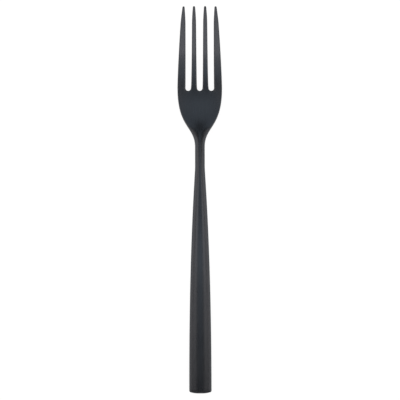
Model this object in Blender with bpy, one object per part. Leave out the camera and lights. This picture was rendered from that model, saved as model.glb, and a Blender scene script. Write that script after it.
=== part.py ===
"""Dessert fork with a hollow handle.

A forged head carries four tines, a dished bowl, a neck and a tang. The handle is two pressed half shells,
closed by a butt cap, and cast resin inside it holds the tang. The fork lies tines up on a table:
+Y points to the tines, +Z is up, and the origin is on the table under the middle of the fork.
"""

import math
from collections import namedtuple

import bmesh
import bpy
import numpy as np

# Lengths along the fork, in metres
TINE_LENGTH = 0.0394
BOWL_LENGTH = 0.0272
NECK_LENGTH = 0.0175
NECK_STRAIGHT = 0.0091
HANDLE_LENGTH = 0.10025

# Widths seen from above
HEAD_WIDTH = 0.02145
TIP_SPREAD = 0.01695
NECK_WIDTH = 0.0047
BUTT_WIDTH = 0.01074

# Tines and slots
SLOT_WIDTH = 0.0026
MIDDLE_SLOT_MOUTH = 0.00345
INNER_TINE_ROOT = 0.00296
INNER_TINE_TIP = 0.00184
OUTER_TINE_TIP = 0.00178
TIP_TAPER = 0.0078
TIP_POINT = 0.0011

# Side profile: level at the joint and at the bowl's heel, then bent up over a share of the tines' length
ARCH_HEIGHT = 0.012
HEEL_SETBACK = 0.0045
TINE_BEND = 0.57
TINE_PITCH = math.radians(25.0)
BUTT_PITCH = math.radians(7.0)

# Thicknesses: each face swells by its crown, or sinks by its dish, between its two edges
TIP_THICKNESS = 0.0012
TIP_DISH = 0.0005
BOWL_THICKNESS = 0.0019
BOWL_DISH = 0.0012
NECK_EDGE = 0.0016
NECK_CROWN = 0.0015
BUTT_EDGE = 0.0029
BUTT_FRONT_CROWN = 0.0017
BUTT_BACK_CROWN = 0.0009
EDGE_ROUND = 0.0006
TIP_ROUND = 0.0003

# Inside the handle, and its butt end
HANDLE_WALL = 0.0006
INNER_ROUND = 0.00015
SPIGOT_LENGTH = 0.005
TANG_LENGTH = 0.036
TANG_STEP = 0.00035
TANG_TAPER = 0.00025
RESIN_COVER = 0.006
CAP_THICKNESS = 0.002
CAP_ROUND = 0.0006
BUTT_BOW = 0.00042
BUTT_FLAT = 0.0015
PLUG_LENGTH = 0.004

# Clearances: the ground seams that show, and the fits inside the handle
SEAM = 0.0001
FIT = 0.00015

# Fullness of the plan curves: how long each end of a curve stays flat, as a share of that curve's length
SHOULDER_AT_NECK = 0.365
SHOULDER_AT_HEAD = 0.679
HANDLE_AT_NECK = 0.045
HANDLE_AT_BUTT = 0.65
TINE_SWEEP = 1.35
ROOT_FLARE = 0.5

# A rounded rim takes at most this share of the half thickness or half width that it rounds
RIM_LIMIT = 0.85

# How finely the curved faces are divided. Rows bunch towards the tips and towards the joint
TINE_ROWS = 16
TINE_BUNCHING = 1.5
TINE_COLUMNS = 4
SLOT_STEPS = 4
BOWL_ROWS = 26
FIRST_ROW_CLEAR = 0.0013
ROUND_STEPS = 2
HANDLE_ROWS = 18
HANDLE_BUNCHING = 1.3
HANDLE_COLUMNS = 12
TANG_ROWS = 5
CAP_STEPS = 3
EASE_STEPS = 400
SHARP_ANGLE = math.radians(35.0)

# Finishes: colour, roughness, metallic
BLACK_STEEL = ((0.045, 0.049, 0.055, 1.0), 0.30, 1.0)
CAST_RESIN = ((0.50, 0.43, 0.30, 1.0), 0.60, 0.0)

# Places along the fork, counted from the joint of head and handle
Y_JOINT = 0.0
Y_NECK_START = NECK_LENGTH - NECK_STRAIGHT
Y_BOWL = NECK_LENGTH
Y_SLOT = Y_BOWL + BOWL_LENGTH
Y_ROOT = Y_SLOT + SLOT_WIDTH / 2
Y_TIP = Y_SLOT + TINE_LENGTH
Y_TIP_CENTRE = Y_TIP - TIP_POINT / 2
Y_BUTT = -HANDLE_LENGTH
Y_CAP = Y_BUTT + CAP_THICKNESS
Y_TANG = -SPIGOT_LENGTH
Y_TANG_END = Y_TANG - TANG_LENGTH
Y_HEEL = Y_ROOT - HEEL_SETBACK

FRONT, BACK = 1, -1

# One cross-section about the centre line: the faces' heights at the edges, their crowns, the rim's radius
Section = namedtuple("Section", "half_width front_edge front_crown back_edge back_crown round_over")


def mix(start, end, share):
    return start + (end - start) * share


def ease(share, flat_start, flat_end):
    """Goes from 0 to 1 on a Bezier curve that leaves and arrives level."""
    t = np.linspace(0.0, 1.0, EASE_STEPS)
    along = 3 * (1 - t) ** 2 * t * flat_start + 3 * (1 - t) * t**2 * (1 - flat_end) + t**3
    across = 3 * (1 - t) * t**2 + t**3
    return float(np.interp(share, along, across))


# The fork's form: plan outline, side profile and cross-sections


def half_width(y):
    """Half the plan width: outer tine edges, shoulders, neck and handle."""
    if y >= Y_ROOT:
        share = (y - Y_ROOT) / (Y_TIP - Y_ROOT)
        return mix(HEAD_WIDTH, TIP_SPREAD, share**TINE_SWEEP) / 2
    if y >= Y_BOWL:
        share = (y - Y_BOWL) / (Y_ROOT - Y_BOWL)
        return mix(NECK_WIDTH, HEAD_WIDTH, ease(share, SHOULDER_AT_NECK, SHOULDER_AT_HEAD)) / 2
    if y >= Y_NECK_START:
        return NECK_WIDTH / 2
    share = (Y_NECK_START - y) / (Y_NECK_START - Y_BUTT)
    return mix(NECK_WIDTH, BUTT_WIDTH, ease(share, HANDLE_AT_NECK, HANDLE_AT_BUTT)) / 2


def section_at(y):
    """The fork's outer cross-section, whose faces change with the width to both sides of the neck."""
    half = half_width(y)
    rim = EDGE_ROUND
    if y >= Y_ROOT:
        share = (y - Y_ROOT) / (Y_TIP - Y_ROOT)
        edge = mix(BOWL_THICKNESS, TIP_THICKNESS, share) / 2
        back_crown = mix(BOWL_DISH, TIP_DISH, share)
        front_crown = -back_crown
        rim = mix(EDGE_ROUND, TIP_ROUND, share)
    elif y >= Y_NECK_START:
        share = (half - NECK_WIDTH / 2) / (HEAD_WIDTH / 2 - NECK_WIDTH / 2)
        edge = mix(NECK_EDGE, BOWL_THICKNESS, share) / 2
        front_crown = mix(NECK_CROWN, -BOWL_DISH, share)
        back_crown = mix(NECK_CROWN, BOWL_DISH, share)
    else:
        share = (half - NECK_WIDTH / 2) / (BUTT_WIDTH / 2 - NECK_WIDTH / 2)
        edge = mix(NECK_EDGE, BUTT_EDGE, share) / 2
        front_crown = mix(NECK_CROWN, BUTT_FRONT_CROWN, share)
        back_crown = mix(NECK_CROWN, BUTT_BACK_CROWN, share)
    return Section(half, edge, front_crown, edge, back_crown, min(rim, RIM_LIMIT * edge))


def inset(section, depth):
    """The section drawn in by an even depth, or grown where the depth is negative."""
    half = section.half_width - depth
    shrink = (half / section.half_width) ** 2
    front_edge = section.front_edge + section.front_crown * (1 - shrink) - depth
    back_edge = section.back_edge + section.back_crown * (1 - shrink) - depth
    round_over = max(section.round_over - depth, INNER_ROUND)
    round_over = min(round_over, RIM_LIMIT * min(front_edge, back_edge))
    return Section(
        half, front_edge, section.front_crown * shrink, back_edge, section.back_crown * shrink, round_over
    )


def tang_section(y):
    """The tang steps in from the spigot and tapers to its end."""
    share = (Y_TANG - y) / TANG_LENGTH
    return inset(section_at(Y_JOINT), HANDLE_WALL + FIT + TANG_STEP + TANG_TAPER * share)


def hermite(share, length, start, start_slope, end, end_slope):
    """Height and slope of a cubic that meets the given heights and slopes at its two ends."""
    s = share
    height = (2 * s**3 - 3 * s**2 + 1) * start + (3 * s**2 - 2 * s**3) * end
    height += length * ((s**3 - 2 * s**2 + s) * start_slope + (s**3 - s**2) * end_slope)
    slope = 6 * (s**2 - s) * (start - end) / length
    slope += (3 * s**2 - 4 * s + 1) * start_slope + (3 * s**2 - 2 * s) * end_slope
    return height, slope


def back_depth(section):
    return section.back_edge + section.back_crown


def centre_line(y):
    """Height and slope of the centre line. The bowl's heel and the butt both touch the table."""
    heel_height = back_depth(section_at(Y_HEEL))
    if y >= Y_HEEL:
        run = y - Y_HEEL
        bend = TINE_BEND * (Y_TIP - Y_ROOT)
        slope = math.tan(TINE_PITCH) * min(run / bend, 1.0)
        return heel_height + slope * (run - min(run, bend) / 2), slope
    if y >= Y_JOINT:
        length = Y_HEEL - Y_JOINT
        return hermite((y - Y_JOINT) / length, length, ARCH_HEIGHT, 0.0, heel_height, 0.0)
    length = Y_JOINT - Y_BUTT
    butt_height = back_depth(section_at(Y_BUTT)) * math.cos(BUTT_PITCH)
    return hermite((y - Y_BUTT) / length, length, butt_height, math.tan(BUTT_PITCH), ARCH_HEIGHT, 0.0)


def place(x, y, height):
    """A point this high above the centre line, square to the side profile."""
    level, slope = centre_line(y)
    pitch = math.atan(slope)
    return (x, y - height * math.sin(pitch), level + height * math.cos(pitch))


def surface(shape, x, y, side, drop=0.0):
    """A point on a face of the section that shape gives for y, or sunk below that face round a rim."""
    section = shape(y)
    bulge = 1.0 - (x / section.half_width) ** 2
    if side == FRONT:
        height = section.front_edge + section.front_crown * bulge
    else:
        height = section.back_edge + section.back_crown * bulge
    return place(x, y, side * (height - drop))


def tine_edges(tine, y):
    """Left and right edge of a tine, counted from the left, with its point drawn in to the tip."""
    spread = ((y - Y_ROOT) / (Y_TIP - Y_ROOT)) ** ROOT_FLARE
    if tine in (1, 2):
        near = mix(SLOT_WIDTH, MIDDLE_SLOT_MOUTH, spread) / 2
        far = near + mix(INNER_TINE_ROOT, INNER_TINE_TIP, spread)
    else:
        root = SLOT_WIDTH / 2 + INNER_TINE_ROOT + SLOT_WIDTH
        near = mix(root, TIP_SPREAD / 2 - OUTER_TINE_TIP, spread)
        far = half_width(y)
    into_taper = max(0.0, 1.0 - (Y_TIP_CENTRE - y) / TIP_TAPER)
    middle = (near + far) / 2
    half = mix((far - near) / 2, TIP_POINT / 2, into_taper**2)
    if tine >= 2:
        return middle - half, middle + half
    return -middle - half, -middle + half


# Building faces from rows and rings of points


class Solid:
    """The points and faces of one piece."""

    def __init__(self):
        self.points = []
        self.faces = []

    def add(self, point):
        self.points.append(point)
        return len(self.points) - 1

    def ring(self, points):
        return [self.add(point) for point in points]

    def strip(self, first, second):
        """Quads between two open rows."""
        for i in range(len(first) - 1):
            self.faces.append((first[i], first[i + 1], second[i + 1], second[i]))

    def loft(self, rings):
        """Quads between each closed ring and the next."""
        for first, second in zip(rings, rings[1:]):
            self.strip(first + first[:1], second + second[:1])

    def cap(self, ring):
        self.faces.append(tuple(ring))

    def close(self, ring, across):
        """Closes a ring with a strip between its front and back rows, each this many points across."""
        around = len(ring) // 2 - across
        back = ring[across + around:2 * across + around]
        self.strip(ring[:across], back[::-1])
        self.cap(ring[across - 1:across + around + 1])
        self.cap(ring[2 * across + around - 1:] + ring[:1])


def edge_column(solid, shape, rim, outline):
    """Points over one rounded edge: the front face's rim, the outline, then the back face's rim."""
    radius = math.dist(rim, outline)
    front, back = [], []
    for step in range(ROUND_STEPS + 1):
        angle = step / ROUND_STEPS * math.pi / 2
        x = mix(rim[0], outline[0], math.sin(angle))
        y = mix(rim[1], outline[1], math.sin(angle))
        drop = radius * (1 - math.cos(angle))
        front.append(solid.add(surface(shape, x, y, FRONT, drop)))
        back.append(solid.add(surface(shape, x, y, BACK, drop)))
    return front + back[::-1]


def joined_ring(left_column, front, right_column, back):
    """One closed ring from two edge columns and the front and back points between them."""
    front_row = [left_column[0], *front, right_column[0]]
    back_row = [left_column[-1], *back, right_column[-1]]
    return front_row + right_column[1:-1] + back_row[::-1] + left_column[-2:0:-1]


def cross_ring(solid, shape, y, left, right, radius, shares):
    """A closed ring across the piece at y. The shares, from -1 to 1, set the points between its two rims."""
    left_column = edge_column(solid, shape, (left + radius, y), (left, y))
    right_column = edge_column(solid, shape, (right - radius, y), (right, y))
    middle, reach = (left + right) / 2, (right - left) / 2 - radius
    between = [middle + reach * share for share in shares]
    front = solid.ring([surface(shape, x, y, FRONT) for x in between])
    back = solid.ring([surface(shape, x, y, BACK) for x in between])
    return joined_ring(left_column, front, right_column, back)


def whole_ring(solid, section, y, shares):
    """A closed ring round a whole cross-section."""
    half = section.half_width
    return cross_ring(solid, lambda _: section, y, -half, half, section.round_over, shares)


def even_shares(count):
    return [2 * i / count - 1 for i in range(1, count)]


# The pieces


def tine_rim(tine, y):
    left, right = tine_edges(tine, y)
    return min(section_at(y).round_over, RIM_LIMIT * (right - left) / 2)


def tine(solid, number, root_ring):
    """One tine: rings from its root, then a round point whose edge columns close it."""
    rings = [root_ring]
    for row in range(1, TINE_ROWS):
        y = mix(Y_ROOT, Y_TIP_CENTRE, 1 - (1 - row / TINE_ROWS) ** TINE_BUNCHING)
        left, right = tine_edges(number, y)
        rim = tine_rim(number, y)
        rings.append(cross_ring(solid, section_at, y, left, right, rim, even_shares(TINE_COLUMNS)))
    left, right = tine_edges(number, Y_TIP_CENTRE)
    middle, radius = (left + right) / 2, (right - left) / 2
    rim_radius = radius - tine_rim(number, Y_TIP_CENTRE)
    columns = []
    for step in range(TINE_COLUMNS + 1):
        angle = math.pi * (1 - step / TINE_COLUMNS)
        across, along = math.cos(angle), math.sin(angle)
        rim = (middle + rim_radius * across, Y_TIP_CENTRE + rim_radius * along)
        outline = (middle + radius * across, Y_TIP_CENTRE + radius * along)
        columns.append(edge_column(solid, section_at, rim, outline))
    front = [column[0] for column in columns[1:-1]]
    back = [column[-1] for column in columns[1:-1]]
    rings.append(joined_ring(columns[0], front, columns[-1], back))
    solid.loft(rings)
    for first, second in zip(columns, columns[1:]):
        solid.strip(first, second)


def slot_columns(solid, middle, first, last):
    """The round bottom of a slot, as edge columns between those of the tines on its two sides."""
    radius = SLOT_WIDTH / 2
    rim_radius = radius + section_at(Y_ROOT).round_over
    columns = [first]
    for step in range(1, SLOT_STEPS):
        angle = math.pi * (1 - step / SLOT_STEPS)
        across, along = math.cos(angle), -math.sin(angle)
        rim = (middle + rim_radius * across, Y_ROOT + rim_radius * along)
        outline = (middle + radius * across, Y_ROOT + radius * along)
        columns.append(edge_column(solid, section_at, rim, outline))
    columns.append(last)
    for before, after in zip(columns, columns[1:]):
        solid.strip(before, after)
    return columns[1:-1]


def fork_head():
    """Tines, bowl, neck, spigot and tang in one forging."""
    solid = Solid()
    rim = section_at(Y_ROOT).round_over
    front, back, sides = [], [], []
    for number in range(4):
        left, right = tine_edges(number, Y_ROOT)
        left_column = edge_column(solid, section_at, (left + rim, Y_ROOT), (left, Y_ROOT))
        right_column = edge_column(solid, section_at, (right - rim, Y_ROOT), (right, Y_ROOT))
        if number > 0:
            slot_middle = (left + tine_edges(number - 1, Y_ROOT)[1]) / 2
            bottom = slot_columns(solid, slot_middle, sides[-1], left_column)
            front += [column[0] for column in bottom]
            back += [column[-1] for column in bottom]
        reach = (right - left) / 2 - rim
        between = [(left + right) / 2 + reach * share for share in even_shares(TINE_COLUMNS)]
        tine_front = solid.ring([surface(section_at, x, Y_ROOT, FRONT) for x in between])
        tine_back = solid.ring([surface(section_at, x, Y_ROOT, BACK) for x in between])
        front += [left_column[0], *tine_front, right_column[0]]
        back += [left_column[-1], *tine_back, right_column[-1]]
        sides += [left_column, right_column]
        tine(solid, number, joined_ring(left_column, tine_front, right_column, tine_back))

    reach = HEAD_WIDTH / 2 - rim
    shares = [solid.points[i][0] / reach for i in front[1:-1]]
    rings = [joined_ring(sides[0], front[1:-1], sides[-1], back[1:-1])]
    first_row = Y_SLOT - rim - FIRST_ROW_CLEAR
    for row in range(BOWL_ROWS + 1):
        y = mix(first_row, Y_JOINT, row / BOWL_ROWS)
        rings.append(whole_ring(solid, section_at(y), y, shares))

    spigot = inset(section_at(Y_JOINT), HANDLE_WALL + FIT)
    rings.append(whole_ring(solid, spigot, Y_JOINT, shares))
    rings.append(whole_ring(solid, spigot, Y_TANG, shares))
    for row in range(TANG_ROWS + 1):
        y = mix(Y_TANG, Y_TANG_END, row / TANG_ROWS)
        rings.append(whole_ring(solid, tang_section(y), y, shares))
    solid.loft(rings)
    solid.cap(rings[-1])
    return solid


def half_loop(section, y, side):
    """Points over one face, from the parting line on the left edge to the one on the right."""
    inner = section.half_width - section.round_over
    rim = []
    for step in range(1, ROUND_STEPS + 1):
        angle = step / ROUND_STEPS * math.pi / 2
        rim.append((inner + section.round_over * math.sin(angle), section.round_over * (1 - math.cos(angle))))
    flat = [(inner * share, 0.0) for share in (-1.0, *even_shares(HANDLE_COLUMNS), 1.0)]
    outline = [(-x, drop) for x, drop in rim[::-1]] + flat + rim
    points = [surface(lambda _: section, x, y, side, drop) for x, drop in outline]
    parting = side * SEAM / 2
    return [place(-section.half_width, y, parting), *points, place(section.half_width, y, parting)]


def handle_shell(side):
    """Half of the hollow handle, pressed from sheet: the front half or the back half."""
    solid = Solid()
    outer_loops, inner_loops = [], []
    for row in range(HANDLE_ROWS + 1):
        y = mix(Y_JOINT - SEAM, Y_CAP + SEAM, (row / HANDLE_ROWS) ** HANDLE_BUNCHING)
        outer = section_at(y)
        outer_loops.append(solid.ring(half_loop(outer, y, side)))
        inner_loops.append(solid.ring(half_loop(inset(outer, HANDLE_WALL), y, side)))
    solid.loft([outer + inner[::-1] for outer, inner in zip(outer_loops, inner_loops)])
    for end in (0, -1):
        solid.strip(outer_loops[end], inner_loops[end])
    return solid


def draw_back(solid, ring):
    """Draws the sides of a ring back from the butt, to both sides of a flat middle."""
    reach = BUTT_WIDTH / 2 - BUTT_FLAT
    for i in ring:
        x, y, z = solid.points[i]
        solid.points[i] = (x, y + BUTT_BOW * (max(0.0, abs(x) - BUTT_FLAT) / reach) ** 2, z)


def handle_end_cap():
    """Butt plate with a rounded rim, on a plug that fills the shells' open end."""
    solid = Solid()
    shares = even_shares(HANDLE_COLUMNS)
    rings = []
    for y in (Y_CAP + PLUG_LENGTH, Y_CAP):
        rings.append(whole_ring(solid, inset(section_at(y), HANDLE_WALL + FIT), y, shares))
    rings.append(whole_ring(solid, section_at(Y_CAP), Y_CAP, shares))
    for step in range(CAP_STEPS + 1):
        angle = step / CAP_STEPS * math.pi / 2
        y = Y_BUTT + CAP_ROUND * (1 - math.sin(angle))
        rings.append(whole_ring(solid, inset(section_at(y), CAP_ROUND * (1 - math.cos(angle))), y, shares))
        draw_back(solid, rings[-1])
    solid.loft(rings)
    solid.cap(rings[0])
    solid.close(rings[-1], len(shares) + 2)
    return solid


def tang_filler():
    """Resin that fills the handle round the tang, cast behind the spigot."""
    solid = Solid()
    shares = even_shares(HANDLE_COLUMNS)
    front, hole_end = Y_TANG - FIT, Y_TANG_END - FIT
    rings = []
    for row in range(TANG_ROWS + 1):
        y = mix(hole_end - RESIN_COVER, front, row / TANG_ROWS)
        rings.append(whole_ring(solid, inset(section_at(y), HANDLE_WALL + FIT), y, shares))
    for row in range(TANG_ROWS + 1):
        y = mix(front, hole_end, row / TANG_ROWS)
        rings.append(whole_ring(solid, inset(tang_section(y), -FIT), y, shares))
    solid.loft(rings)
    solid.cap(rings[0])
    solid.cap(rings[-1])
    return solid


# Objects in the scene


def finish(name, colour, roughness, metallic):
    material = bpy.data.materials.new(name)
    material.use_nodes = True
    shader = material.node_tree.nodes["Principled BSDF"]
    shader.inputs["Base Color"].default_value = colour
    shader.inputs["Roughness"].default_value = roughness
    shader.inputs["Metallic"].default_value = metallic
    return material


def make_object(name, solid, look, parent):
    bm = bmesh.new()
    points = [bm.verts.new(point) for point in solid.points]
    for face in solid.faces:
        bm.faces.new([points[i] for i in face])
    bmesh.ops.recalc_face_normals(bm, faces=bm.faces)
    mesh = bpy.data.meshes.new(name)
    bm.to_mesh(mesh)
    bm.free()
    mesh.shade_smooth()
    mesh.set_sharp_from_angle(angle=SHARP_ANGLE)
    mesh.materials.append(finish(name + "_finish", *look))
    made = bpy.data.objects.new(name, mesh)
    made.parent = parent
    bpy.context.scene.collection.objects.link(made)


def main():
    for old in list(bpy.data.objects):
        bpy.data.objects.remove(old)
    pieces = {
        "fork_head": (fork_head(), BLACK_STEEL),
        "handle_front_shell": (handle_shell(FRONT), BLACK_STEEL),
        "handle_back_shell": (handle_shell(BACK), BLACK_STEEL),
        "handle_end_cap": (handle_end_cap(), BLACK_STEEL),
        "tang_filler": (tang_filler(), CAST_RESIN),
    }
    every_point = np.array([point for solid, _ in pieces.values() for point in solid.points])
    low, high = every_point.min(axis=0), every_point.max(axis=0)
    fork = bpy.data.objects.new("dessert_fork", None)
    fork.location = (0.0, -(low[1] + high[1]) / 2, -low[2])
    bpy.context.scene.collection.objects.link(fork)
    for name, (solid, look) in pieces.items():
        make_object(name, solid, look, fork)


main()
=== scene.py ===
"""Looks of the dessert fork: fine pieces in satin black steel, a pale floor, soft light and a camera.

The pieces repeat the fork's own driving sizes, in metres, with many more rows and columns of faces.
"""

import functools
import math
from collections import namedtuple

import bmesh
import bpy
import numpy as np
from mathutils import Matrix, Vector


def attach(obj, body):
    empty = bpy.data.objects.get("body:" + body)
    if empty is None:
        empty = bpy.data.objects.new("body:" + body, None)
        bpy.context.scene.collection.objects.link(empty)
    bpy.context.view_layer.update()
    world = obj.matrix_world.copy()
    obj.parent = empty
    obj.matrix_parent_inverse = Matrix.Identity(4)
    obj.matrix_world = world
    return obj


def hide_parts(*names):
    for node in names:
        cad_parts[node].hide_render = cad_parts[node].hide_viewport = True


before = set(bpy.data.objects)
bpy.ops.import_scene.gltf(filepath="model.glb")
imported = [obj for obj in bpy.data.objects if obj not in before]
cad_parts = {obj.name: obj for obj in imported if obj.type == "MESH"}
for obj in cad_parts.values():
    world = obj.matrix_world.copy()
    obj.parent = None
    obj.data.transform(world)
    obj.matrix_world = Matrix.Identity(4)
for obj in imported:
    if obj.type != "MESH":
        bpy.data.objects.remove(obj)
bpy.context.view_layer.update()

# Lengths along the fork, in metres
TINE_LENGTH = 0.0394
BOWL_LENGTH = 0.0272
NECK_LENGTH = 0.0175
NECK_STRAIGHT = 0.0091
HANDLE_LENGTH = 0.10025

# Widths seen from above
HEAD_WIDTH = 0.02145
TIP_SPREAD = 0.01695
NECK_WIDTH = 0.0047
BUTT_WIDTH = 0.01074

# Tines, counted from the left, and slots
TINES = 4
INNER_TINES = (1, 2)
SLOT_WIDTH = 0.0026
MIDDLE_SLOT_MOUTH = 0.00345
INNER_TINE_ROOT = 0.00296
INNER_TINE_TIP = 0.00184
OUTER_TINE_TIP = 0.00178
TIP_TAPER = 0.0078
TIP_POINT = 0.0011

# Side profile: level at the joint and at the bowl's heel, then bent up over a share of the tines' length
ARCH_HEIGHT = 0.012
HEEL_SETBACK = 0.0045
TINE_BEND = 0.57
TINE_PITCH = math.radians(25.0)
BUTT_PITCH = math.radians(7.0)

# Thicknesses: each face swells by its crown, or sinks by its dish, between its two edges
TIP_THICKNESS = 0.0012
TIP_DISH = 0.0005
BOWL_THICKNESS = 0.0019
BOWL_DISH = 0.0012
NECK_EDGE = 0.0016
NECK_CROWN = 0.0015
BUTT_EDGE = 0.0029
BUTT_FRONT_CROWN = 0.0017
BUTT_BACK_CROWN = 0.0009
EDGE_ROUND = 0.0006
TIP_ROUND = 0.0003

# Inside the handle, and its butt end
HANDLE_WALL = 0.0006
INNER_ROUND = 0.00015
SPIGOT_LENGTH = 0.005
TANG_LENGTH = 0.036
TANG_STEP = 0.00035
TANG_TAPER = 0.00025
CAP_THICKNESS = 0.002
CAP_ROUND = 0.0006
BUTT_BOW = 0.00042
BUTT_FLAT = 0.0015
PLUG_LENGTH = 0.004

# Clearances: the hairline seams, ground flush, and the fits inside the handle
SEAM = 0.00002
FIT = 0.00015

# Fullness of the plan curves: how long each end of a curve stays flat, as a share of that curve's length
SHOULDER_AT_NECK = 0.365
SHOULDER_AT_HEAD = 0.679
HANDLE_AT_NECK = 0.045
HANDLE_AT_BUTT = 0.65
TINE_SWEEP = 1.35
ROOT_FLARE = 0.5

# A rounded rim takes at most this share of the half thickness or half width that it rounds
RIM_LIMIT = 0.85

# How finely the curved faces are divided. Rows bunch towards the tips and towards the joint
TINE_ROWS = 48
TINE_BUNCHING = 1.4
TINE_COLUMNS = 10
SLOT_STEPS = 16
BOWL_ROWS = 80
FIRST_ROW_CLEAR = 0.0007
ROUND_STEPS = 6
HANDLE_ROWS = 90
HANDLE_BUNCHING = 1.3
HANDLE_COLUMNS = 28
TANG_ROWS = 5
CAP_STEPS = 6
EASE_STEPS = 400
SHARP_ANGLE = math.radians(35.0)

# Finishes, which their nodes then vary
STEEL_COLOUR = (0.045, 0.049, 0.055)
STEEL_ROUGHNESS = 0.30
STEEL_RELIEF = 0.000006
# The rims' brightening is partly wear and partly a painted highlight along the rounded edges
RIM_WEAR_AND_HIGHLIGHT_BRIGHTENING = 0.35
WEAR_POLISH = 0.05
RESIN_COLOUR = (0.50, 0.43, 0.30)
RESIN_PIT_DEPTH = 0.00005

# Lengths of the marks in the finishes, along X, Y and Z
GRAIN = (0.00016, 0.00016, 0.00016)
POLISHING_LINES = (0.00014, 0.012, 0.05)
POLISHING_BANDS = (0.0016, 0.05, 0.05)
HANDLING_MARKS = (0.009, 0.016, 0.012)
# Patches that break up the rims' wear and painted highlight
RIM_WEAR_AND_HIGHLIGHT_PATCHES = (0.0012, 0.005, 0.0012)
RESIN_CLOUDS = (0.004, 0.009, 0.004)
RESIN_BUBBLES = (0.0009, 0.0009, 0.0009)

# Camera: straight above, framed as a square of this width at this height over the table
CAMERA_HEIGHT = 1.2
FRAME_WIDTH = 0.1917
FRAME_LEVEL = 0.006
FRAME_CENTRE = (0.0, 0.0003)
CAMERA_ROLL = math.radians(-0.13)
SENSOR_WIDTH_MM = 36.0

# Floor: the lit colour bounces light, the shown one takes the shadow under a glow that grows with distance
FLOOR_HALF = 1.5
FLOOR_LEVEL = -0.00005
FLOOR_LIT = (0.8, 0.8, 0.8, 1.0)
FLOOR_SHOWN = (0.12, 0.12, 0.12, 1.0)
GLOW_NEAR = 0.92
GLOW_FAR = 1.0
GLOW_STARTS = 0.12
GLOW_ENDS = 0.38

# Room: the walls' white fades to a dim ceiling between two slants of view, 0 level and 1 straight up
WALL_WHITE = 1.0
CEILING = 0.12
FADE_STARTS = 0.06
FADE_ENDS = 0.22

# Softboxes: where each hangs, the point it faces, its width and depth, its brightness beside white, its tint
COOL = (0.9, 1.0, 1.1)
WARM = (1.1, 1.0, 0.95)
Softbox = namedtuple("Softbox", "name place faces width depth brightness tint")
SOFTBOXES = (
    Softbox("over_handle", (0.0, -0.10, 0.30), (0.0, -0.10, 0.0), 0.22, 0.12, 0.75, COOL),
    Softbox("over_bowl", (0.0, 0.06, 0.30), (0.0, 0.06, 0.0), 0.22, 0.08, 0.65, COOL),
    Softbox("over_tines", (0.0, 0.28, 0.30), (0.0, 0.28, 0.0), 0.22, 0.36, 0.85, COOL),
    Softbox("over_neck", (0.0, -0.01, 0.08), (0.0, -0.01, 0.0), 0.14, 0.08, 0.30, COOL),
    Softbox("left_high", (-0.22, 0.05, 0.30), (0.0, 0.05, 0.0), 0.50, 0.14, 1.50, WARM),
    Softbox("left_low", (-0.40, 0.05, 0.15), (0.0, 0.05, 0.0), 0.60, 0.26, 1.50, WARM),
    Softbox("right_high", (0.22, 0.05, 0.30), (0.0, 0.05, 0.0), 0.50, 0.14, 1.50, WARM),
    Softbox("right_low", (0.40, 0.0, 0.15), (0.0, 0.0, 0.0), 0.50, 0.26, 1.50, WARM),
    Softbox("front_high", (0.0, -0.75, 0.95), (0.0, 0.0, 0.0), 1.30, 0.25, 0.50, WARM),
    Softbox("front_low", (0.0, -0.95, 0.75), (0.0, 0.0, 0.0), 1.30, 0.25, 3.75, WARM),
)

# Places along the fork, counted from the joint of head and handle
Y_JOINT = 0.0
Y_NECK_START = NECK_LENGTH - NECK_STRAIGHT
Y_BOWL = NECK_LENGTH
Y_SLOT = Y_BOWL + BOWL_LENGTH
Y_ROOT = Y_SLOT + SLOT_WIDTH / 2
Y_TIP = Y_SLOT + TINE_LENGTH
Y_TIP_CENTRE = Y_TIP - TIP_POINT / 2
Y_BUTT = -HANDLE_LENGTH
Y_CAP = Y_BUTT + CAP_THICKNESS
Y_TANG = -SPIGOT_LENGTH
Y_TANG_END = Y_TANG - TANG_LENGTH
Y_HEEL = Y_ROOT - HEEL_SETBACK

FRONT, BACK = 1, -1

# One cross-section about the centre line: the faces' heights at the edges, their crowns, the rim's radius
Section = namedtuple("Section", "half_width front_edge front_crown back_edge back_crown round_over")


def mix(start, end, share):
    return start + (end - start) * share


def ease(share, flat_start, flat_end):
    """Goes from 0 to 1 on a Bezier curve that leaves and arrives level."""
    t = np.linspace(0.0, 1.0, EASE_STEPS)
    along = 3 * (1 - t) ** 2 * t * flat_start + 3 * (1 - t) * t**2 * (1 - flat_end) + t**3
    across = 3 * (1 - t) * t**2 + t**3
    return float(np.interp(share, along, across))


# The fork's form: plan outline, side profile and cross-sections


def half_width(y):
    """Half the plan width: outer tine edges, shoulders, neck and handle."""
    if y >= Y_ROOT:
        share = (y - Y_ROOT) / (Y_TIP - Y_ROOT)
        return mix(HEAD_WIDTH, TIP_SPREAD, share**TINE_SWEEP) / 2
    if y >= Y_BOWL:
        share = (y - Y_BOWL) / (Y_ROOT - Y_BOWL)
        return mix(NECK_WIDTH, HEAD_WIDTH, ease(share, SHOULDER_AT_NECK, SHOULDER_AT_HEAD)) / 2
    if y >= Y_NECK_START:
        return NECK_WIDTH / 2
    share = (Y_NECK_START - y) / (Y_NECK_START - Y_BUTT)
    return mix(NECK_WIDTH, BUTT_WIDTH, ease(share, HANDLE_AT_NECK, HANDLE_AT_BUTT)) / 2


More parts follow.
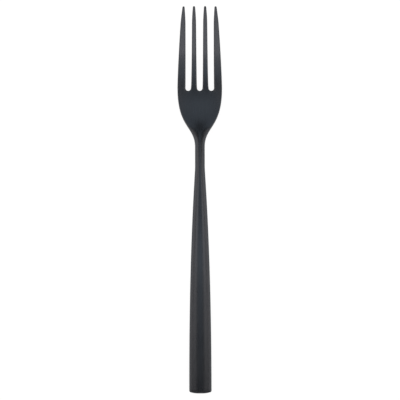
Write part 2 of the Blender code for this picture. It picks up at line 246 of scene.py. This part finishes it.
@functools.cache
def section_at(y):
    """The fork's outer cross-section, whose faces change with the width to both sides of the neck."""
    half = half_width(y)
    rim = EDGE_ROUND
    if y >= Y_ROOT:
        share = (y - Y_ROOT) / (Y_TIP - Y_ROOT)
        edge = mix(BOWL_THICKNESS, TIP_THICKNESS, share) / 2
        back_crown = mix(BOWL_DISH, TIP_DISH, share)
        front_crown = -back_crown
        rim = mix(EDGE_ROUND, TIP_ROUND, share)
    elif y >= Y_NECK_START:
        share = (half - NECK_WIDTH / 2) / (HEAD_WIDTH / 2 - NECK_WIDTH / 2)
        edge = mix(NECK_EDGE, BOWL_THICKNESS, share) / 2
        front_crown = mix(NECK_CROWN, -BOWL_DISH, share)
        back_crown = mix(NECK_CROWN, BOWL_DISH, share)
    else:
        share = (half - NECK_WIDTH / 2) / (BUTT_WIDTH / 2 - NECK_WIDTH / 2)
        edge = mix(NECK_EDGE, BUTT_EDGE, share) / 2
        front_crown = mix(NECK_CROWN, BUTT_FRONT_CROWN, share)
        back_crown = mix(NECK_CROWN, BUTT_BACK_CROWN, share)
    return Section(half, edge, front_crown, edge, back_crown, min(rim, RIM_LIMIT * edge))


def inset(section, depth):
    """The section drawn in by an even depth, or grown where the depth is negative."""
    half = section.half_width - depth
    shrink = (half / section.half_width) ** 2
    front_edge = section.front_edge + section.front_crown * (1 - shrink) - depth
    back_edge = section.back_edge + section.back_crown * (1 - shrink) - depth
    round_over = max(section.round_over - depth, INNER_ROUND)
    round_over = min(round_over, RIM_LIMIT * min(front_edge, back_edge))
    return Section(
        half, front_edge, section.front_crown * shrink, back_edge, section.back_crown * shrink, round_over
    )


def tang_section(y):
    """The tang steps in from the spigot and tapers to its end."""
    share = (Y_TANG - y) / TANG_LENGTH
    return inset(section_at(Y_JOINT), HANDLE_WALL + FIT + TANG_STEP + TANG_TAPER * share)


def hermite(share, length, start, start_slope, end, end_slope):
    """Height and slope of a cubic that meets the given heights and slopes at its two ends."""
    s = share
    height = (2 * s**3 - 3 * s**2 + 1) * start + (3 * s**2 - 2 * s**3) * end
    height += length * ((s**3 - 2 * s**2 + s) * start_slope + (s**3 - s**2) * end_slope)
    slope = 6 * (s**2 - s) * (start - end) / length
    slope += (3 * s**2 - 4 * s + 1) * start_slope + (3 * s**2 - 2 * s) * end_slope
    return height, slope


def back_depth(section):
    return section.back_edge + section.back_crown


@functools.cache
def centre_line(y):
    """Height and slope of the centre line. The bowl's heel and the butt both touch the table."""
    heel_height = back_depth(section_at(Y_HEEL))
    if y >= Y_HEEL:
        run = y - Y_HEEL
        bend = TINE_BEND * (Y_TIP - Y_ROOT)
        slope = math.tan(TINE_PITCH) * min(run / bend, 1.0)
        return heel_height + slope * (run - min(run, bend) / 2), slope
    if y >= Y_JOINT:
        length = Y_HEEL - Y_JOINT
        return hermite((y - Y_JOINT) / length, length, ARCH_HEIGHT, 0.0, heel_height, 0.0)
    length = Y_JOINT - Y_BUTT
    butt_height = back_depth(section_at(Y_BUTT)) * math.cos(BUTT_PITCH)
    return hermite((y - Y_BUTT) / length, length, butt_height, math.tan(BUTT_PITCH), ARCH_HEIGHT, 0.0)


def place(x, y, height):
    """A point this high above the centre line, square to the side profile."""
    level, slope = centre_line(y)
    pitch = math.atan(slope)
    return (x, y - height * math.sin(pitch), level + height * math.cos(pitch))


def surface(shape, x, y, side, drop=0.0):
    """A point on a face of the section that shape gives for y, or sunk below that face round a rim."""
    section = shape(y)
    bulge = 1.0 - (x / section.half_width) ** 2
    if side == FRONT:
        height = section.front_edge + section.front_crown * bulge
    else:
        height = section.back_edge + section.back_crown * bulge
    return place(x, y, side * (height - drop))


def tine_edges(tine, y):
    """Left and right edge of a tine, counted from the left, with its point drawn in to the tip."""
    spread = ((y - Y_ROOT) / (Y_TIP - Y_ROOT)) ** ROOT_FLARE
    if tine in INNER_TINES:
        near = mix(SLOT_WIDTH, MIDDLE_SLOT_MOUTH, spread) / 2
        far = near + mix(INNER_TINE_ROOT, INNER_TINE_TIP, spread)
    else:
        root = SLOT_WIDTH / 2 + INNER_TINE_ROOT + SLOT_WIDTH
        near = mix(root, TIP_SPREAD / 2 - OUTER_TINE_TIP, spread)
        far = half_width(y)
    into_taper = max(0.0, 1.0 - (Y_TIP_CENTRE - y) / TIP_TAPER)
    middle = (near + far) / 2
    half = mix((far - near) / 2, TIP_POINT / 2, into_taper**2)
    if tine >= TINES / 2:
        return middle - half, middle + half
    return -middle - half, -middle + half


# Building faces from rows and rings of points


class Solid:
    """The points and faces of one piece. Points on a rounded edge carry how far round it they are, as rim."""

    def __init__(self):
        self.points = []
        self.rim = []
        self.faces = []

    def add(self, point, rim=0.0):
        self.points.append(point)
        self.rim.append(rim)
        return len(self.points) - 1

    def ring(self, points):
        return [self.add(point) for point in points]

    def strip(self, first, second):
        """Quads between two open rows."""
        for i in range(len(first) - 1):
            self.faces.append((first[i], first[i + 1], second[i + 1], second[i]))

    def loft(self, rings):
        """Quads between each closed ring and the next."""
        for first, second in zip(rings, rings[1:]):
            self.strip(first + first[:1], second + second[:1])

    def cap(self, ring):
        self.faces.append(tuple(ring))

    def close(self, ring, across):
        """Closes a ring with a strip between its front and back rows, each this many points across."""
        around = len(ring) // 2 - across
        back = ring[across + around:2 * across + around]
        self.strip(ring[:across], back[::-1])
        self.cap(ring[across - 1:across + around + 1])
        self.cap(ring[2 * across + around - 1:] + ring[:1])


def edge_column(solid, shape, rim, outline):
    """Points over one rounded edge: the front face's rim, the outline, then the back face's rim."""
    radius = math.dist(rim, outline)
    front, back = [], []
    for step in range(ROUND_STEPS + 1):
        angle = step / ROUND_STEPS * math.pi / 2
        turn = math.sin(angle)
        x = mix(rim[0], outline[0], turn)
        y = mix(rim[1], outline[1], turn)
        drop = radius * (1 - math.cos(angle))
        front.append(solid.add(surface(shape, x, y, FRONT, drop), turn))
        back.append(solid.add(surface(shape, x, y, BACK, drop), turn))
    return front + back[::-1]


def joined_ring(left_column, front, right_column, back):
    """One closed ring from two edge columns and the front and back points between them."""
    front_row = [left_column[0], *front, right_column[0]]
    back_row = [left_column[-1], *back, right_column[-1]]
    return front_row + right_column[1:-1] + back_row[::-1] + left_column[-2:0:-1]


def cross_ring(solid, shape, y, left, right, radius, shares):
    """A closed ring across the piece at y. The shares, from -1 to 1, set the points between its two rims."""
    left_column = edge_column(solid, shape, (left + radius, y), (left, y))
    right_column = edge_column(solid, shape, (right - radius, y), (right, y))
    middle, reach = (left + right) / 2, (right - left) / 2 - radius
    between = [middle + reach * share for share in shares]
    front = solid.ring([surface(shape, x, y, FRONT) for x in between])
    back = solid.ring([surface(shape, x, y, BACK) for x in between])
    return joined_ring(left_column, front, right_column, back)


def whole_ring(solid, section, y, shares):
    """A closed ring round a whole cross-section."""
    half = section.half_width
    return cross_ring(solid, lambda _: section, y, -half, half, section.round_over, shares)


def even_shares(count):
    return [2 * i / count - 1 for i in range(1, count)]


# The pieces


def tine_rim(tine, y):
    left, right = tine_edges(tine, y)
    return min(section_at(y).round_over, RIM_LIMIT * (right - left) / 2)


def tine(solid, number, root_ring):
    """One tine: rings from its root, then a round point whose edge columns close it."""
    rings = [root_ring]
    for row in range(1, TINE_ROWS):
        y = mix(Y_ROOT, Y_TIP_CENTRE, 1 - (1 - row / TINE_ROWS) ** TINE_BUNCHING)
        left, right = tine_edges(number, y)
        rim = tine_rim(number, y)
        rings.append(cross_ring(solid, section_at, y, left, right, rim, even_shares(TINE_COLUMNS)))
    left, right = tine_edges(number, Y_TIP_CENTRE)
    middle, radius = (left + right) / 2, (right - left) / 2
    rim_radius = radius - tine_rim(number, Y_TIP_CENTRE)
    columns = []
    for step in range(TINE_COLUMNS + 1):
        angle = math.pi * (1 - step / TINE_COLUMNS)
        across, along = math.cos(angle), math.sin(angle)
        rim = (middle + rim_radius * across, Y_TIP_CENTRE + rim_radius * along)
        outline = (middle + radius * across, Y_TIP_CENTRE + radius * along)
        columns.append(edge_column(solid, section_at, rim, outline))
    front = [column[0] for column in columns[1:-1]]
    back = [column[-1] for column in columns[1:-1]]
    rings.append(joined_ring(columns[0], front, columns[-1], back))
    solid.loft(rings)
    for first, second in zip(columns, columns[1:]):
        solid.strip(first, second)


def slot_columns(solid, middle, first, last):
    """The round bottom of a slot, as edge columns between those of the tines on its two sides."""
    radius = SLOT_WIDTH / 2
    rim_radius = radius + section_at(Y_ROOT).round_over
    columns = [first]
    for step in range(1, SLOT_STEPS):
        angle = math.pi * (1 - step / SLOT_STEPS)
        across, along = math.cos(angle), -math.sin(angle)
        rim = (middle + rim_radius * across, Y_ROOT + rim_radius * along)
        outline = (middle + radius * across, Y_ROOT + radius * along)
        columns.append(edge_column(solid, section_at, rim, outline))
    columns.append(last)
    for before, after in zip(columns, columns[1:]):
        solid.strip(before, after)
    return columns[1:-1]


def fork_head():
    """Tines, bowl, neck, spigot and tang in one forging."""
    solid = Solid()
    rim = section_at(Y_ROOT).round_over
    front, back, sides = [], [], []
    for number in range(TINES):
        left, right = tine_edges(number, Y_ROOT)
        left_column = edge_column(solid, section_at, (left + rim, Y_ROOT), (left, Y_ROOT))
        right_column = edge_column(solid, section_at, (right - rim, Y_ROOT), (right, Y_ROOT))
        if number > 0:
            slot_middle = (left + tine_edges(number - 1, Y_ROOT)[1]) / 2
            bottom = slot_columns(solid, slot_middle, sides[-1], left_column)
            front += [column[0] for column in bottom]
            back += [column[-1] for column in bottom]
        reach = (right - left) / 2 - rim
        between = [(left + right) / 2 + reach * share for share in even_shares(TINE_COLUMNS)]
        tine_front = solid.ring([surface(section_at, x, Y_ROOT, FRONT) for x in between])
        tine_back = solid.ring([surface(section_at, x, Y_ROOT, BACK) for x in between])
        front += [left_column[0], *tine_front, right_column[0]]
        back += [left_column[-1], *tine_back, right_column[-1]]
        sides += [left_column, right_column]
        tine(solid, number, joined_ring(left_column, tine_front, right_column, tine_back))

    reach = HEAD_WIDTH / 2 - rim
    shares = [solid.points[i][0] / reach for i in front[1:-1]]
    rings = [joined_ring(sides[0], front[1:-1], sides[-1], back[1:-1])]
    first_row = Y_SLOT - rim - FIRST_ROW_CLEAR
    for row in range(BOWL_ROWS + 1):
        y = mix(first_row, Y_JOINT, row / BOWL_ROWS)
        rings.append(whole_ring(solid, section_at(y), y, shares))

    spigot = inset(section_at(Y_JOINT), HANDLE_WALL + FIT)
    rings.append(whole_ring(solid, spigot, Y_JOINT, shares))
    rings.append(whole_ring(solid, spigot, Y_TANG, shares))
    for row in range(TANG_ROWS + 1):
        y = mix(Y_TANG, Y_TANG_END, row / TANG_ROWS)
        rings.append(whole_ring(solid, tang_section(y), y, shares))
    solid.loft(rings)
    solid.cap(rings[-1])
    return solid


def half_loop(solid, section, y, side):
    """Points over one face, from the parting line on the left edge to the one on the right."""
    inner = section.half_width - section.round_over
    rim = []
    for step in range(1, ROUND_STEPS + 1):
        angle = step / ROUND_STEPS * math.pi / 2
        turn = math.sin(angle)
        rim.append((inner + section.round_over * turn, section.round_over * (1 - math.cos(angle)), turn))
    flat = [(inner * share, 0.0, 0.0) for share in (-1.0, *even_shares(HANDLE_COLUMNS), 1.0)]
    outline = [(-x, drop, turn) for x, drop, turn in rim[::-1]] + flat + rim
    loop = [solid.add(surface(lambda _: section, x, y, side, drop), turn) for x, drop, turn in outline]
    parting = side * SEAM / 2
    left = solid.add(place(-section.half_width, y, parting), 1.0)
    right = solid.add(place(section.half_width, y, parting), 1.0)
    return [left, *loop, right]


def handle_shell(side):
    """Half of the hollow handle, pressed from sheet: the front half or the back half."""
    solid = Solid()
    outer_loops, inner_loops = [], []
    for row in range(HANDLE_ROWS + 1):
        y = mix(Y_JOINT - SEAM, Y_CAP + SEAM, (row / HANDLE_ROWS) ** HANDLE_BUNCHING)
        outer = section_at(y)
        outer_loops.append(half_loop(solid, outer, y, side))
        inner_loops.append(half_loop(solid, inset(outer, HANDLE_WALL), y, side))
    solid.loft([outer + inner[::-1] for outer, inner in zip(outer_loops, inner_loops)])
    for end in (0, -1):
        solid.strip(outer_loops[end], inner_loops[end])
    return solid


def draw_back(solid, ring):
    """Draws the sides of a ring back from the butt, to both sides of a flat middle."""
    reach = BUTT_WIDTH / 2 - BUTT_FLAT
    for i in ring:
        x, y, z = solid.points[i]
        solid.points[i] = (x, y + BUTT_BOW * (max(0.0, abs(x) - BUTT_FLAT) / reach) ** 2, z)


def handle_end_cap():
    """Butt plate with a rounded rim, on a plug that fills the shells' open end."""
    solid = Solid()
    shares = even_shares(HANDLE_COLUMNS)
    rings = []
    for y in (Y_CAP + PLUG_LENGTH, Y_CAP):
        rings.append(whole_ring(solid, inset(section_at(y), HANDLE_WALL + FIT), y, shares))
    rings.append(whole_ring(solid, section_at(Y_CAP), Y_CAP, shares))
    for step in range(CAP_STEPS + 1):
        angle = step / CAP_STEPS * math.pi / 2
        y = Y_BUTT + CAP_ROUND * (1 - math.sin(angle))
        rings.append(whole_ring(solid, inset(section_at(y), CAP_ROUND * (1 - math.cos(angle))), y, shares))
        draw_back(solid, rings[-1])
    solid.loft(rings)
    solid.cap(rings[0])
    solid.close(rings[-1], len(shares) + 2)
    return solid


# Materials


def map_range(tree, source, start, end, low, high):
    """Takes a value between start and end to one between low and high, and holds it there."""
    node = tree.nodes.new("ShaderNodeMapRange")
    tree.links.new(source, node.inputs["Value"])
    for socket, value in (("From Min", start), ("From Max", end), ("To Min", low), ("To Max", high)):
        node.inputs[socket].default_value = value
    return node.outputs["Result"]


class Finish:
    """A material whose nodes vary its shader from place to place."""

    def __init__(self, name):
        self.material = bpy.data.materials.new(name)
        self.material.use_nodes = True
        self.nodes = self.material.node_tree.nodes
        self.shader = self.nodes["Principled BSDF"]
        self.place = self.nodes.new("ShaderNodeTexCoord").outputs["Object"]

    def join(self, source, target):
        """Links an output to an input, or sets the input to a plain number."""
        if isinstance(source, (int, float)):
            target.default_value = source
        else:
            self.material.node_tree.links.new(source, target)

    def math(self, operation, first, second):
        node = self.nodes.new("ShaderNodeMath")
        node.operation = operation
        self.join(first, node.inputs[0])
        self.join(second, node.inputs[1])
        return node.outputs[0]

    def scaled_place(self, lengths):
        """Places counted in the given lengths along X, Y and Z, in metres."""
        node = self.nodes.new("ShaderNodeMapping")
        node.inputs["Scale"].default_value = [1 / length for length in lengths]
        self.join(self.place, node.inputs["Vector"])
        return node.outputs["Vector"]

    def noise(self, lengths, detail):
        """Soft noise from 0 to 1 whose marks have about the given lengths."""
        node = self.nodes.new("ShaderNodeTexNoise")
        node.inputs["Scale"].default_value = 1.0
        node.inputs["Detail"].default_value = detail
        self.join(self.scaled_place(lengths), node.inputs["Vector"])
        return node.outputs[0]

    def span(self, source, low, high, start=0.3, end=0.7):
        """Spreads the usual range of a noise, or another one, from low to high."""
        return map_range(self.material.node_tree, source, start, end, low, high)

    def tint(self, colour, strength):
        """The colour made lighter or darker by a factor, as the shader's own colour."""
        node = self.nodes.new("ShaderNodeVectorMath")
        node.operation = "SCALE"
        node.inputs[0].default_value = colour
        self.join(strength, node.inputs["Scale"])
        self.join(node.outputs["Vector"], self.shader.inputs["Base Color"])

    def bump(self, height, depth):
        node = self.nodes.new("ShaderNodeBump")
        node.inputs["Distance"].default_value = depth
        self.join(height, node.inputs["Height"])
        self.join(node.outputs["Normal"], self.shader.inputs["Normal"])


def black_steel():
    """Black-coated steel: fine grain, lengthwise polishing lines, and rims brightened partly by wear and
    partly by a painted highlight.
    """
    finish = Finish("satin_black_steel")
    grain = finish.noise(GRAIN, 2.0)
    lines = finish.noise(POLISHING_LINES, 3.0)
    bands = finish.noise(POLISHING_BANDS, 2.0)
    handling = finish.noise(HANDLING_MARKS, 3.0)
    patches = finish.noise(RIM_WEAR_AND_HIGHLIGHT_PATCHES, 4.0)

    rim = finish.nodes.new("ShaderNodeAttribute")
    rim.attribute_name = "rim"
    # Rims brightened in patches: partly wear, partly a painted highlight along the rounded edges
    rim_wear_and_highlight = finish.span(rim.outputs["Fac"], 0.0, 1.0, 0.45, 0.95)
    rim_wear_and_highlight = finish.math("MULTIPLY", rim_wear_and_highlight, finish.span(patches, 0.0, 1.0, 0.42, 0.68))

    tone = finish.math("MULTIPLY", finish.span(lines, 0.95, 1.05), finish.span(bands, 0.97, 1.03))
    tone = finish.math("MULTIPLY", tone, finish.span(handling, 0.97, 1.03))
    tone = finish.math("MULTIPLY", tone, finish.span(grain, 0.95, 1.05))
    finish.tint(STEEL_COLOUR, finish.math("ADD", tone, finish.math("MULTIPLY", rim_wear_and_highlight, RIM_WEAR_AND_HIGHLIGHT_BRIGHTENING)))

    rough = finish.math("ADD", STEEL_ROUGHNESS, finish.span(lines, -0.03, 0.03))
    rough = finish.math("ADD", rough, finish.span(handling, -0.025, 0.025))
    rough = finish.math("SUBTRACT", rough, finish.math("MULTIPLY", rim_wear_and_highlight, WEAR_POLISH))
    finish.join(rough, finish.shader.inputs["Roughness"])
    finish.shader.inputs["Metallic"].default_value = 1.0

    relief = finish.math("ADD", finish.math("MULTIPLY", grain, 0.6), finish.math("MULTIPLY", lines, 0.4))
    finish.bump(relief, STEEL_RELIEF)
    return finish.material


def cast_resin():
    """Pale cast resin, cloudy, with small bubbles in its skin, their pits darkened as painted shade."""
    finish = Finish("cast_resin")
    cloud = finish.noise(RESIN_CLOUDS, 4.0)
    bubbles = finish.nodes.new("ShaderNodeTexVoronoi")
    bubbles.inputs["Scale"].default_value = 1.0
    finish.join(finish.scaled_place(RESIN_BUBBLES), bubbles.inputs["Vector"])
    pits = finish.span(bubbles.outputs["Distance"], 0.0, 1.0, 0.05, 0.22)
    # The colour darkens in the bubbles' pits: painted shade in the hollows
    tone = finish.math("MULTIPLY", finish.span(cloud, 0.82, 1.12), finish.span(pits, 0.75, 1.0, 0.0, 1.0))
    finish.tint(RESIN_COLOUR, tone)
    finish.join(finish.span(cloud, 0.48, 0.66), finish.shader.inputs["Roughness"])
    finish.bump(pits, RESIN_PIT_DEPTH)
    return finish.material


def make_piece(name, solid, material, node, shift):
    """A finely divided piece that stands for one solid of the frame."""
    bm = bmesh.new()
    rim_layer = bm.verts.layers.float.new("rim")
    points = []
    for point, rim in zip(solid.points, solid.rim):
        vertex = bm.verts.new(Vector(point) + shift)
        vertex[rim_layer] = rim
        points.append(vertex)
    for face in solid.faces:
        bm.faces.new([points[i] for i in face])
    bmesh.ops.recalc_face_normals(bm, faces=bm.faces)
    mesh = bpy.data.meshes.new(name)
    bm.to_mesh(mesh)
    bm.free()
    mesh.shade_smooth()
    mesh.set_sharp_from_angle(angle=SHARP_ANGLE)
    mesh.materials.append(material)
    piece = bpy.data.objects.new(name, mesh)
    bpy.context.scene.collection.objects.link(piece)
    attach(piece, "root")
    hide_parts(node)


def add_pieces():
    solids = {
        "fork_head": fork_head(),
        "handle_front_shell": handle_shell(FRONT),
        "handle_back_shell": handle_shell(BACK),
        "handle_end_cap": handle_end_cap(),
    }
    every_point = np.array([point for solid in solids.values() for point in solid.points])
    low, high = every_point.min(axis=0), every_point.max(axis=0)
    shift = Vector((0.0, -(low[1] + high[1]) / 2, -low[2]))
    steel = black_steel()
    for node, solid in solids.items():
        make_piece(node + "_surface", solid, steel, node, shift)
    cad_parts["tang_filler"].material_slots[0].material = cast_resin()


def add_camera():
    distance = CAMERA_HEIGHT - FRAME_LEVEL
    data = bpy.data.cameras.new("camera")
    data.sensor_width = SENSOR_WIDTH_MM
    data.lens = SENSOR_WIDTH_MM * distance / FRAME_WIDTH
    camera = bpy.data.objects.new("camera", data)
    camera.location = (*FRAME_CENTRE, CAMERA_HEIGHT)
    camera.rotation_euler.z = CAMERA_ROLL
    bpy.context.scene.collection.objects.link(camera)
    bpy.context.scene.camera = camera


def add_floor():
    """A white floor that takes the fork's faint shadow and brightens away from it to the walls' white."""
    mesh = bpy.data.meshes.new("floor")
    signs = ((-1, -1), (1, -1), (1, 1), (-1, 1))
    mesh.from_pydata([(x * FLOOR_HALF, y * FLOOR_HALF, FLOOR_LEVEL) for x, y in signs], [], [(0, 1, 2, 3)])
    material = bpy.data.materials.new("pale_floor")
    material.use_nodes = True
    nodes, links = material.node_tree.nodes, material.node_tree.links
    output = nodes["Material Output"]
    nodes.remove(nodes["Principled BSDF"])
    diffuse = nodes.new("ShaderNodeBsdfDiffuse")
    diffuse.inputs["Color"].default_value = FLOOR_LIT
    shown = nodes.new("ShaderNodeBsdfDiffuse")
    shown.inputs["Color"].default_value = FLOOR_SHOWN
    glow = nodes.new("ShaderNodeEmission")
    spot = nodes.new("ShaderNodeTexCoord")
    away = nodes.new("ShaderNodeVectorMath")
    away.operation = "LENGTH"
    links.new(spot.outputs["Object"], away.inputs[0])
    distance = away.outputs["Value"]
    brighter = map_range(material.node_tree, distance, GLOW_STARTS, GLOW_ENDS, GLOW_NEAR, GLOW_FAR)
    links.new(brighter, glow.inputs["Strength"])
    lit = nodes.new("ShaderNodeAddShader")
    links.new(shown.outputs[0], lit.inputs[0])
    links.new(glow.outputs[0], lit.inputs[1])
    path = nodes.new("ShaderNodeLightPath")
    seen = path.outputs["Is Camera Ray"]
    for way in ("Is Glossy Ray", "Is Transmission Ray"):
        either = nodes.new("ShaderNodeMath")
        either.operation = "MAXIMUM"
        links.new(seen, either.inputs[0])
        links.new(path.outputs[way], either.inputs[1])
        seen = either.outputs[0]
    choose = nodes.new("ShaderNodeMixShader")
    links.new(seen, choose.inputs["Fac"])
    links.new(diffuse.outputs[0], choose.inputs[1])
    links.new(lit.outputs[0], choose.inputs[2])
    links.new(choose.outputs[0], output.inputs["Surface"])
    mesh.materials.append(material)
    floor = bpy.data.objects.new("floor", mesh)
    bpy.context.scene.collection.objects.link(floor)


def add_light():
    """Softboxes round the fork, in a room with low white walls and a dim ceiling."""
    for box in SOFTBOXES:
        data = bpy.data.lights.new(box.name, "AREA")
        data.shape = "RECTANGLE"
        data.size, data.size_y = box.width, box.depth
        data.energy = math.pi * box.width * box.depth * box.brightness
        data.color = box.tint
        lamp = bpy.data.objects.new(box.name, data)
        lamp.location = box.place
        lamp.rotation_euler = (Vector(box.faces) - Vector(box.place)).to_track_quat("-Z", "Y").to_euler()
        lamp.visible_camera = False
        bpy.context.scene.collection.objects.link(lamp)

    world = bpy.data.worlds.new("studio")
    world.use_nodes = True
    nodes, links = world.node_tree.nodes, world.node_tree.links
    way = nodes.new("ShaderNodeTexCoord")
    height = nodes.new("ShaderNodeSeparateXYZ")
    links.new(way.outputs["Generated"], height.inputs["Vector"])
    shade = map_range(world.node_tree, height.outputs["Z"], FADE_STARTS, FADE_ENDS, WALL_WHITE, CEILING)
    links.new(shade, nodes["Background"].inputs["Color"])
    bpy.context.scene.world = world


add_pieces()
add_camera()
add_floor()
add_light()
bpy.context.scene.view_settings.view_transform = "Standard"
